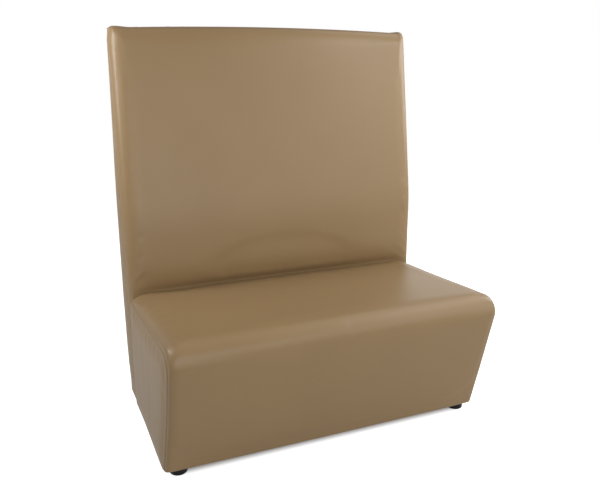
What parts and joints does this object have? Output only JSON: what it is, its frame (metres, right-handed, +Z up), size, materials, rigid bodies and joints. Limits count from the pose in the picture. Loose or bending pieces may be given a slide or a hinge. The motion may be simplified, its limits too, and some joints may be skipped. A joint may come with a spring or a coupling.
{
  "type": "restaurant booth seating",
  "caption": "Single-sided high-back restaurant booth bench: crowned box seat with a forward-leaning front, tall rolled-edge back, vinyl upholstery, on low round levelling feet.",
  "frame": {"origin": "on the floor, in the middle of the booth's footprint", "axes": "+X across the booth, +Y from the sitter's knees to the back, +Z up"},
  "size_m": [1.116, 0.7162, 1.327],
  "materials": {
    "vinyl": "satin",
    "foam": "matte",
    "plywood": "matte",
    "hardboard": "matte",
    "timber": "matte",
    "spring_steel": "satin",
    "zinc_steel": "satin",
    "foot_plastic": "satin",
    "dust_cloth": "matte",
    "insulator": "matte"
  },
  "bodies": {
    "frame": {"back_base_rail": "timber", "back_board": "plywood", "back_boxing_left": "vinyl", "back_boxing_right": "vinyl", "back_boxing_top": "vinyl", "back_cover": "vinyl", "back_dust_cover": "dust_cloth", "back_end_panel_left": "plywood", "back_end_panel_right": "plywood", "back_foam": "foam", "back_joint_rail": "timber", "back_lumbar_rail": "timber", "back_post": "timber", "back_rear_board": "hardboard", "back_rear_cover": "vinyl", "back_side_pad_left": "foam", "back_side_pad_right": "foam", "back_top_pad": "foam", "back_top_rail": "timber", "back_upper_rail": "timber", "foot_nuts": "zinc_steel", "joining_bolts": "zinc_steel", "joining_nuts": "zinc_steel", "seat_corner_blocks": "timber", "seat_cover": "vinyl", "seat_divider": "plywood", "seat_dust_cover": "dust_cloth", "seat_end_panel_left": "plywood", "seat_end_panel_right": "plywood", "seat_foam": "foam", "seat_front_base_rail": "timber", "seat_front_board": "plywood", "seat_front_foam": "foam", "seat_front_spring_rail": "timber", "seat_rear_base_rail": "timber", "seat_rear_spring_rail": "timber", "seat_side_cover_left": "vinyl", "seat_side_cover_right": "vinyl", "seat_side_pad_left": "foam", "seat_side_pad_right": "foam", "seat_springs": "spring_steel", "spring_clips": "spring_steel", "spring_insulator": "insulator"},
    "foot_front_left_pad": {"foot_front_left_base": "foot_plastic"},
    "foot_front_left_screw": {"foot_front_left_stem": "zinc_steel"},
    "foot_front_right_pad": {"foot_front_right_base": "foot_plastic"},
    "foot_front_right_screw": {"foot_front_right_stem": "zinc_steel"},
    "foot_rear_left_pad": {"foot_rear_left_base": "foot_plastic"},
    "foot_rear_left_screw": {"foot_rear_left_stem": "zinc_steel"},
    "foot_rear_right_pad": {"foot_rear_right_base": "foot_plastic"},
    "foot_rear_right_screw": {"foot_rear_right_stem": "zinc_steel"}
  },
  "joints": [
    {"name": "foot_front_left_lift", "type": "slide", "parent": "frame", "child": "foot_front_left_pad", "axis": [0, 0, -1], "range_m": [0, 0.012]},
    {"name": "foot_front_left_turn", "type": "hinge", "parent": "foot_front_left_pad", "child": "foot_front_left_screw", "pos_m": [-0.5085, -0.20402, 0.026], "axis": [0, 0, -1], "range_deg": [0, 3456]},
    {"name": "foot_front_right_lift", "type": "slide", "parent": "frame", "child": "foot_front_right_pad", "axis": [0, 0, -1], "range_m": [0, 0.012]},
    {"name": "foot_front_right_turn", "type": "hinge", "parent": "foot_front_right_pad", "child": "foot_front_right_screw", "pos_m": [0.5085, -0.20402, 0.026], "axis": [0, 0, -1], "range_deg": [0, 3456]},
    {"name": "foot_rear_left_lift", "type": "slide", "parent": "frame", "child": "foot_rear_left_pad", "axis": [0, 0, -1], "range_m": [0, 0.012]},
    {"name": "foot_rear_left_turn", "type": "hinge", "parent": "foot_rear_left_pad", "child": "foot_rear_left_screw", "pos_m": [-0.5085, 0.3225, 0.026], "axis": [0, 0, -1], "range_deg": [0, 3456]},
    {"name": "foot_rear_right_lift", "type": "slide", "parent": "frame", "child": "foot_rear_right_pad", "axis": [0, 0, -1], "range_m": [0, 0.012]},
    {"name": "foot_rear_right_turn", "type": "hinge", "parent": "foot_rear_right_pad", "child": "foot_rear_right_screw", "pos_m": [0.5085, 0.3225, 0.026], "axis": [0, 0, -1], "range_deg": [0, 3456]}
  ],
  "couplings": [
    {"joint": "foot_front_left_turn", "follows": "foot_front_left_lift", "rad_per_m": 5026.5},
    {"joint": "foot_front_right_turn", "follows": "foot_front_right_lift", "rad_per_m": 5026.5},
    {"joint": "foot_rear_left_turn", "follows": "foot_rear_left_lift", "rad_per_m": 5026.5},
    {"joint": "foot_rear_right_turn", "follows": "foot_rear_right_lift", "rad_per_m": 5026.5}
  ]
}
